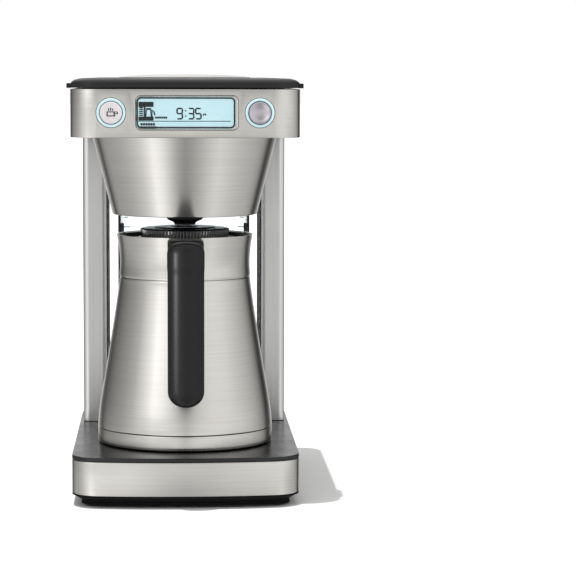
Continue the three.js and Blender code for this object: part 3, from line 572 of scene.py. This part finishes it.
def patch(x0, z0, x1, z1, proud=0.12, base=0.02):
    """Flat rectangle on the display."""
    low = (lens_x + x0, lens_front - proud, bezel_z + z0)
    high = (lens_x + x1, lens_front - base, bezel_z + z1)
    return block(low, high, 0.03)


SEGMENTS = {"a": (0, 1, 1, 1), "b": (1, 1, 1, 0.5), "c": (1, 0.5, 1, 0), "d": (0, 0, 1, 0),
            "e": (0, 0.5, 0, 0), "f": (0, 1, 0, 0.5), "g": (0, 0.5, 1, 0.5)}
DIGITS = {"9": "abcdfg", "3": "abgcd", "5": "afgcd"}


def digit(figure, x, z=-5.6, width=4.9, height=9.6):
    """Seven-segment figure: each segment is a pointed bar between corners of a 1 x 1 frame."""
    scaled = [np.array(SEGMENTS[s]) * (width, height, width, height) + (x, z, x, z) for s in DIGITS[figure]]
    return [stroke(*ends, 1.45) for ends in scaled]


clock = digit("9", -8.2) + digit("3", 2.4) + digit("5", 9.1)
clock += [patch(-0.9, z, 0.3, z + 1.2) for z in (-3.6, 1.2)]
clock += [patch(15.6, -2.4, 16.9, -0.9), patch(17.4, -2.4, 18.8, -0.9)]
# A small drawing of the machine: head, base, post and drip, tank marks, then the jug and its handle.
machine_sign = [patch(-43.8, 5.4, -30.0, 10.0), patch(-43.8, -7.2, -30.0, -3.6),
                patch(-38.8, -4.2, -37.4, 5.4), patch(-31.6, -4.2, -31.2, 1.4)]
machine_sign += [patch(-43.2, z, -39.6, z + 1.0) for z in (-2.8, -1.0, 0.8, 2.6, 4.2)]
machine_sign += [patch(-36.8, 2.6, -32.2, 4.2), stroke(-36.6, 2.8, -37.0, -3.6, 0.9),
                 stroke(-32.6, 2.8, -32.2, -3.6, 0.9), stroke(-32.4, 2.2, -29.8, 1.6, 1.0),
                 stroke(-29.8, 1.8, -28.7, -2.6, 1.2)]
notes = [patch(-28.4 + 1.9 * i, -5.4, -26.9 + 1.9 * i, -3.6) for i in range(6)]
notes += [patch(-42.0 + 2.3 * i, -11.8, -40.2 + 2.3 * i, -9.6) for i in range(6)]
notes += [patch(-42.4, -13.2, -27.6, -12.6)]
piece(joined(*clock, *machine_sign, *notes), INK, "display_lens", detail="display_segments")
piece(patch(-44.2, -8.1, 41.4, -7.5), INK, "display_lens", detail="display_rule_line")


def on_front(line, x, sides=128):
    """A turned piece whose top faces the front, on the button's or dial's axis."""
    return facing(turned(line, (0, 0), sides), (x, head_front, bezel_z))


ring_line = eased([(10.9, -5), (13.6, -5), (13.6, 0.1), (13.0, 0.7), (11.5, 0.7), (10.9, 0.1)], 0.35)
piece(on_front(ring_line, left_x), RING_GLOW, "button_ring")
piece(on_front(ring_line, right_x), RING_GLOW, "dial_ring")
cap_line = [(0, -7.2), (3, -7.2), (3, -5.5), (10.2, -5.5), (10.3, 0.7), (9.6, 1.4), (8, 1.25), (4, 0.95),
            (0, 0.85)]
piece(on_front(eased(cap_line, 0.5, loop=False), left_x), BUTTON_SILVER, "brew_button")
knob_line = [(0, -4.4), (3, -4.4), (3, -6.5), (10.2, -6.5), (10.3, 1.4), (9.6, 2.2), (8.9, 2.1), (6.6, 1.0),
             (3.5, 0.35), (0, 0.15)]
piece(on_front(eased(knob_line, 0.6, loop=False), right_x), KNOB_SILVER, "dial_knob")


def sign(x, z, wide, tall, size=1.3):
    """Flat raised mark on the button's face, drawn on a grid that `size` scales."""
    low = (left_x + size * (x - wide / 2), head_front - 1.16, bezel_z + size * z)
    high = (left_x + size * (x + wide / 2), head_front - 0.85, bezel_z + size * (z + tall))
    return block(low, high, 0.05)


cup = [sign(0, -2.6, 6.2, 0.7), sign(-2.7, -2.6, 0.7, 3.4), sign(2.3, -2.6, 0.7, 3.4),
       sign(-0.2, 0.3, 5.4, 0.6), sign(3.7, -1.0, 2.2, 0.55), sign(4.6, -1.0, 0.55, 1.8),
       sign(3.7, 0.3, 2.2, 0.55), sign(-1.6, 1.5, 0.6, 1.5), sign(-0.2, 1.5, 0.6, 2.0),
       sign(1.2, 1.5, 0.6, 1.5)]
piece(joined(*cup), INK, "brew_button", detail="button_cup_symbol")

# ---------------------------------------------------------------- lids

# Both lids come from one moulding's shape, which is cut in two at the hinge of the brew lid.
low, high = span("brew_lid")
LID = (high[0], low[1], head_back - 1, 25, 24, 0)
lid_bottom, lid_top = low[2] + 0.7, high[2]
lid_line = [(4, lid_bottom), (0.3, lid_bottom), (0, lid_bottom + 0.5), (0, lid_top - 4.4), (1.5, lid_top - 3),
            (4, lid_top - 1.7), (9, lid_top - 0.5), (20, lid_top - 0.05), (26, lid_top)]
lid = walled(LID, eased(lid_line, 0.9, loop=False), loop=False)
_, hinge_y, hinge_z = centre_of("brew_lid_pin")
front_part = block((-120, -200, 380), (120, hinge_y + 3, 420))
rear_part = block((-120, hinge_y + 6, 380), (120, span("fill_lid")[1][1] - 3.0, 420))
# The brew lid has notches for the ears of its hinge, a bore for the pin and a hollow underneath.
notches = [block((x - 4.4, 55, 385), (x + 4.4, 80, 415), 0.3) for x in (-70, 70)]
pin_bore = lengthways(rod(PIN_HOLE, -78, 78), (0, hinge_y, hinge_z))
hollow_line = [(4, lid_bottom - 2), (4, lid_bottom + 2.2), (4.4, lid_bottom + 2.5)]
hollow = walled((LID[0], LID[1], hinge_y - 4, 25, 8, 0), hollow_line, loop=False)
piece(lid, LID_ABS, "brew_lid", cutters=[hollow, *notches, pin_bore], region=front_part)
piece(lid, LID_ABS, "fill_lid", region=rear_part)

_, fill_y, fill_z = centre_of("fill_lid_pin")
knuckle = eased([(0, -8), (3, -8), (3, 8), (0, 8)], 0.4, loop=False)
for side, x in (("left", -54), ("right", 54)):
    ear = lengthways(turned(knuckle, (0, 0), 64), (x, fill_y, fill_z))
    web = block((x - 8, 170, lid_bottom + 0.3), (x + 8, fill_y, fill_z + 2.4), 0.5)
    pin_hole = lengthways(rod(PIN_HOLE, -20, 20), (x, fill_y, fill_z))
    piece(ear, ABS, "fill_lid", detail="fill_lid_knuckle_" + side, cutters=[pin_hole])
    piece(web, ABS, "fill_lid", detail="fill_lid_web_" + side, cutters=[pin_hole])

# The crown's dome is given by radii and by the share of its height reached there.
crown_bottom, crown_top = heights_of("lid_crown")
crown_rim = [(0, crown_bottom), (63.6, crown_bottom), (64, crown_bottom + 0.2)]
crown_knots = [(63.2, 0.2), (52, 0.6), (40, 0.85), (20, 0.98), (0, 1)]
crown_rise = crown_top - crown_bottom
crown_points = [(radius, crown_bottom + share * crown_rise) for radius, share in crown_knots]
crown_dome = smooth_through(crown_points, 24)
crown_dome[-1, 0] = 0
piece(turned(np.vstack([crown_rim, crown_dome]), axis, 160), STEEL, "lid_crown", crease=50)

# ---------------------------------------------------------------- brew unit

# The funnel is a cone from its rim up to the head, and a straight ring inside the head.
rim_z, ring_z = heights_of("funnel_shell")
rim_r, ring_r = 70.6, 90.4
funnel_line = [(rim_r - 1.7, rim_z), (rim_r - 0.6, rim_z), (rim_r + 0.1, rim_z + 0.7), (ring_r, head_bottom),
               (ring_r, ring_z), (ring_r - SHEET, ring_z), (ring_r - SHEET, head_bottom),
               (rim_r - 1.7, rim_z + 0.8)]
# The shower arm crosses the ring from behind.
arm_notch = block((-6, axis[1] + 70, 374), (6, axis[1] + 110, 400))
piece(turned(eased(funnel_line, 0.4), axis, 192), STEEL, "funnel_shell", cutters=[arm_notch])


def inside_funnel(z):
    """Radius of the brew basket at a height, 2.1 mm inside the cone's outer face."""
    return rim_r + (ring_r - rim_r) / (head_bottom - rim_z) * (z - rim_z) - 2.1


basket_r = inside_funnel(head_bottom)
basket_line = [(5, 275), (inside_funnel(275), 275), (basket_r, head_bottom), (basket_r, 368),
               (basket_r - 2, 368), (basket_r - 2, head_bottom), (inside_funnel(277) - 2, 277.2), (5, 277.2)]
piece(turned(eased(basket_line, 0.6), axis, 128), ABS, "brew_basket")
housing_line = [(7, 261.2), (10.3, 261.2), (10.5, 262.6), (12, 264), (16.2, 265.6), (17.8, 267.2),
                (17.8, 272.4), (68.4, 272.4), (68.4, 274.4), (4.2, 274.4), (4.2, 272), (7, 272)]
piece(turned(eased(housing_line, 0.5), axis, 96), ABS, "drip_stop_housing")
plunger_line = [(0, 261.2), (4.5, 261.2), (6.2, 262.4), (6.2, 264), (2.2, 264.6), (2.2, 277.5), (7.6, 277.5),
                (7.6, 279), (0, 280.2)]
piece(turned(eased(plunger_line, 0.3, loop=False), axis, 64), SILICONE, "drip_stop_plunger")

# ---------------------------------------------------------------- thermal jug

body = smooth_through([(85.6, 64), (85.1, 71), (83, 88.4), (76.3, 127.6), (69.8, 167), (64.9, 200),
                       (63.9, 210.4)], 60)
neck = smooth_through([(64.1, 211), (63.5, 224), (64.3, 238), (66.4, 251.7)], 30)
neck_rim = [(66.5, 252.0), (66.2, 252.2), (65.6, 252.1)]


def sheet_wall(line, foot_lip, top_lip=0.0, rim=()):
    """Wall of the jug's sheet that follows a line up, goes over a rim and comes back inside it. Each lip
    rolls that end of the line in by so much."""
    outer = line.copy()
    outer[[0, -1], 0] -= (foot_lip, top_lip)
    return np.vstack([outer, np.reshape(rim, (-1, 2)), line[::-1] - (JUG_SHEET, 0)])


piece(turned(sheet_wall(body, 0.35, 0.5), axis, 192), STEEL, "jug_body")
piece(turned(sheet_wall(neck, 0.4, rim=neck_rim), axis, 192), STEEL, "jug_collar")
base_ring_line = [(82.6, 49.3), (84.4, 49.3), (85.5, 50.2), (85.8, 52.4), (85.5, 63.7), (84.3, 63.7),
                  (83.9, 56)]
piece(turned(eased(base_ring_line, 0.5), axis, 192), STEEL, "jug_base_ring")
foot_line = [(0, 49.4), (60, 49.4), (62, 48.8), (80.4, 48.8), (81.9, 50), (82.2, 54), (0, 54)]
piece(turned(eased(foot_line, 0.5, loop=False), axis, 128), ABS, "jug_foot")
# The inner wall runs 4.5 mm inside the body's outer face, and is 1 mm thick.
inside = body[body[:, 1] > 68]
liner_floor, liner_mouth = [(0, 58), (72, 58), (77, 61)], [(59, 222), (60.4, 228.6), (59.4, 228.6), (58, 222)]
liner_back = [(76, 62), (71.5, 59), (0, 59)]
liner = np.vstack([liner_floor, inside - (4.5, 0), liner_mouth, inside[::-1] - (5.5, 0), liner_back])
piece(turned(liner, axis, 128), LINER_STEEL, "jug_liner")
insert_line = [(58.6, 229), (61.2, 229), (62.4, 238), (64.6, 251), (63.6, 251), (58.6, 246.5)]
piece(turned(eased(insert_line, 0.4), axis, 128), ABS, "neck_insert")
cover_line = [(0, 230), (52, 230), (56, 231), (56, 242), (58.2, 243), (58.2, 246), (57.4, 247.4),
              (42.6, 249.3), (42.6, 257.1), (40.6, 258.2), (30.5, 258.5), (28.6, 259.4), (14, 259.4),
              (10, 256.6), (0, 256.3)]
cover = turned(eased(cover_line, 0.5, loop=False), axis, 840, ribs=84, depth=0.9, rib_band=(249.9, 257.4, 30))
piece(cover, GLOSS_ABS, "jug_lid")
seal_line = [(56.4, 236.5), (58.2, 236.5), (58.2, 239.5), (56.4, 239.5)]
piece(turned(eased(seal_line, 0.5), axis, 96), SILICONE, "jug_lid_seal")


def grip_bar(low, high):
    """Handle as stacked superellipses |x/a|^2.1 + |y/b|^2.1 = 1. Above its neck a widens and b deepens along
    a tanh. Both ends close with a and b falling as (1 - u^p)^q, p from 2 to 2.6 and q from 0.4 to 0.5, where
    u runs from 0 to 1 over the last stretch."""
    (x0, y0, z0), (x1, y1, z1) = low, high
    foot, crest, neck = 15.0, 12.0, z1 - 27
    u = np.linspace(0, np.pi / 2, 16)
    middle = np.linspace(z0 + foot, z1 - crest, 60)[1:-1]
    heights = np.concatenate([z0 + foot * (1 - np.cos(u)), middle, z1 - crest * (1 - np.sin(u))])
    under = np.clip((z0 + foot - heights) / foot, 0, 1)
    over = np.clip((heights - z1 + crest) / crest, 0, 1)
    swell = 0.5 + 0.5 * np.tanh((heights - neck) / 2.2)
    half = (x1 - x0) / 2
    wide = (half + 0.3 - 0.4 * (1 - swell)) * np.sqrt(np.clip(1 - under**2, 0, 1)) * (1 - over**2.4) ** 0.42
    deep = (y1 - y0) / 2 * (1 - 0.04 * (1 - swell)) * (1 - under**2.6) ** 0.45 * (1 - over**2.6) ** 0.4
    angle = np.linspace(0, 2 * np.pi, 96, endpoint=False)
    power = 2 / 2.1
    x = wide[:, None] * np.sign(np.cos(angle)) * np.abs(np.cos(angle)) ** power
    y = deep[:, None] * np.sign(np.sin(angle)) * np.abs(np.sin(angle)) ** power + (y0 + y1) / 2
    return skin(np.stack([x, y, heights[:, None] + 0 * x], -1))


grip_low, grip_high = span("jug_grip")
piece(grip_bar(grip_low, grip_high - (0, 0, 1.2)), GRIP_TPE, "jug_grip", crease=60)
low, high = span("grip_bracket")
# The arm runs back from the grip to the jug's wall, whose shape is cut out of it.
arm_line = eased([(4, low[2]), (0, low[2]), (0, high[2]), (4, high[2])], 0.7, loop=False)
arm = walled((17, low[1], -40, 2, 2, 0), arm_line, loop=False)
jug_room = turned([(0, 225), (64.9, 225), (64.9, 239), (67, 253), (67, 260), (0, 260)], axis, 192)
piece(arm, LID_ABS, "grip_bracket", cutters=[jug_room])

# ---------------------------------------------------------------- pieces that keep their own shape

KEPT = {
    "plain_steel": PLATED, "silicone": SILICONE, "cast_aluminium": CAST, "circuit_board": BOARD,
    "black_plastic": ABS, "black_rubber": RUBBER, "brushed_steel": LINER_STEEL,
    "display_panel": DISPLAY_GLOW, "satin_silver": PLATED,
}
for node, obj in frame["nodes"].items():
    if not obj.hide_render:  # nothing stands for this node, so it is shown as it is
        obj.data.materials.clear()
        obj.data.materials.append(COATED if node == "fill_lid_hinge" else KEPT[SLOT[node]])

# ---------------------------------------------------------------- studio

FLOOR = 30  # half the floor's width in metres
floor_mesh = bpy.data.meshes.new("studio_floor")
floor_corners = [(-FLOOR, -FLOOR, 0), (FLOOR, -FLOOR, 0), (FLOOR, FLOOR, 0), (-FLOOR, FLOOR, 0)]
floor_mesh.from_pydata(floor_corners, [], [(0, 1, 2, 3)])
floor = bpy.data.objects.new("studio_floor", floor_mesh)
bpy.context.scene.collection.objects.link(floor)
paper, tree, shader, place = shader_of("matt_white_paper")
fibre = grain(tree, place, (300, 300, 300), 2.0)
tint = add(tree, "ShaderNodeMix", {0: fibre, 6: linear("F3F3F2"), 7: linear("F8F8F7")}, data_type="RGBA"), 2
feed(shader, {"Base Color": tint, "Roughness": 0.9, "Specular IOR Level": 0.1})
floor_mesh.materials.append(paper)
floor.visible_glossy = False

# A high lamp almost overhead gives the short shadow, which falls to the right and back.
sun = bpy.data.objects.new("key_lamp", bpy.data.lights.new("key_lamp", "SUN"))
bpy.context.scene.collection.objects.link(sun)
sun.data.energy = 2.4
sun.data.angle = radians(0.6)
sun.rotation_euler = Vector((0.107, 0.08, -1)).to_track_quat("-Z", "Y").to_euler()
sun.visible_glossy = False

# A small lamp at the left that only the grip and the jug's lid catch, as a card is set to draw out one edge.
grip_lamp = bpy.data.objects.new("grip_lamp", bpy.data.lights.new("grip_lamp", "AREA"))
bpy.context.scene.collection.objects.link(grip_lamp)
grip_lamp.data.shape = "RECTANGLE"
grip_lamp.data.size, grip_lamp.data.size_y, grip_lamp.data.energy = 0.1, 0.2, 2.2
grip_lamp.location = (-0.575, -0.726, 0.19)
grip_lamp.rotation_euler = Vector((0.575, 0.556, 0)).to_track_quat("-Z", "Z").to_euler()
caught = bpy.data.collections.new("lit_by_grip_lamp")
for name in ("fine_jug_grip", "fine_jug_lid"):
    caught.objects.link(bpy.data.objects[name])
grip_lamp.light_linking.receiver_collection = caught

# Brightness round the room by azimuth in degrees, 0 at the front and positive to the right: two tall soft
# boxes, dark cloths at the sides and an open white back wall. Each row of ROOM is for one slope of a
# direction, given as the sine of its angle above the level, and slopes between two rows mix them. The values
# were chosen from how bright the steel has to look where it mirrors each direction.
AROUND = [-180, -166, -158, -151, -143, -134, -125, -109, -93, -77, -65, -54, -45, -33, -21, -11, 0, 11, 22,
          35, 49, 62, 79, 95, 111, 126, 135, 143, 150, 158, 166, 180]
ROOM = [
    (-0.45, [1, 0.8, 0.3, 0.1, 0.05, 0.35, 0.42, 0.45, 0.52, 0.66, 0.8, 1.05, 1.35, 1.15, 0.75, 0.48, 0.36,
             0.44, 0.57, 0.76, 0.92, 0.84, 0.72, 0.64, 0.6, 0.48, 0.12, 0.04, 0.1, 0.35, 0.7, 1]),
    (-0.16, [1, 0.75, 0.5, 0.28, 0.06, 0.3, 0.42, 0.48, 0.58, 0.72, 0.92, 1.08, 1.25, 1.22, 1.12, 1.08, 0.58,
             0.84, 0.94, 0.9, 0.84, 0.7, 0.58, 0.52, 0.45, 0.34, 0.08, 0.05, 0.2, 0.42, 0.65, 1]),
    (-0.02, [1, 0.5, 0.06, 0.06, 0.1, 0.16, 0.22, 0.33, 0.42, 0.6, 0.68, 0.6, 0.5, 0.5, 0.72, 1.0, 1.1, 1.1,
             1.02, 0.96, 0.98, 0.97, 0.92, 0.76, 0.55, 0.3, 0.1, 0.03, 0.04, 0.2, 0.5, 1]),
    (0.11, [1, 1, 0.5, 0.1, 0.1, 0.14, 0.2, 0.3, 0.41, 0.58, 0.9, 1.2, 1.55, 1.38, 1.02, 0.6, 0.34, 0.56,
            0.78, 0.92, 0.93, 0.9, 0.74, 0.6, 0.45, 0.26, 0.1, 0.04, 0.05, 0.3, 0.6, 1]),
]
world = bpy.data.worlds.new("studio")
bpy.context.scene.world = world
world.use_nodes = True
tree = world.node_tree
tree.nodes.clear()
heading = add(tree, "ShaderNodeSeparateXYZ", {0: (add(tree, "ShaderNodeTexCoord"), "Generated")})
backwards = add(tree, "ShaderNodeMath", {0: (heading, "Y"), 1: -1.0}, operation="MULTIPLY"), 0
bearing = add(tree, "ShaderNodeMath", {0: (heading, "X"), 1: backwards}, operation="ARCTAN2"), 0
turn = add(tree, "ShaderNodeMapRange", {"Value": bearing, "From Min": -np.pi, "From Max": np.pi}), "Result"
room = None
for slope, values in ROOM:
    band = add(tree, "ShaderNodeValToRGB", {"Fac": turn})
    stops = band.color_ramp.elements
    for extra in range(len(AROUND) - 2):
        stops.new(0.5)
    for stop, azimuth, value in zip(stops, AROUND, values):
        stop.position = (azimuth + 180) / 360
        stop.color = (value, value, value, 1)
    if room:
        between = {"Value": (heading, "Z"), "From Min": slope_below, "From Max": slope}
        rise = add(tree, "ShaderNodeMapRange", between), "Result"
        room = add(tree, "ShaderNodeMix", {0: rise, 6: room, 7: (band, "Color")}, data_type="RGBA"), 2
    else:
        room = band, "Color"
    slope_below = slope
# Overhead the room is an even white, and the camera itself sees a white wall.
overhead = {"Value": (heading, "Z"), "From Min": 0.55, "From Max": 0.85}
climb = add(tree, "ShaderNodeMapRange", overhead), "Result"
room = add(tree, "ShaderNodeMix", {0: climb, 6: room, 7: (0.9, 0.9, 0.9, 1)}, data_type="RGBA"), 2
seen = add(tree, "ShaderNodeLightPath"), "Is Camera Ray"
wall = add(tree, "ShaderNodeMix", {0: seen, 6: room, 7: (1.0, 1.0, 1.0, 1)}, data_type="RGBA"), 2
glow = add(tree, "ShaderNodeBackground", {"Color": wall, "Strength": 1.0})
add(tree, "ShaderNodeOutputWorld", {"Surface": (glow, "Background")})

bpy.context.scene.view_settings.view_transform = "Standard"
bpy.context.scene.cycles.max_bounces = 12
bpy.context.scene.cycles.transmission_bounces = 8
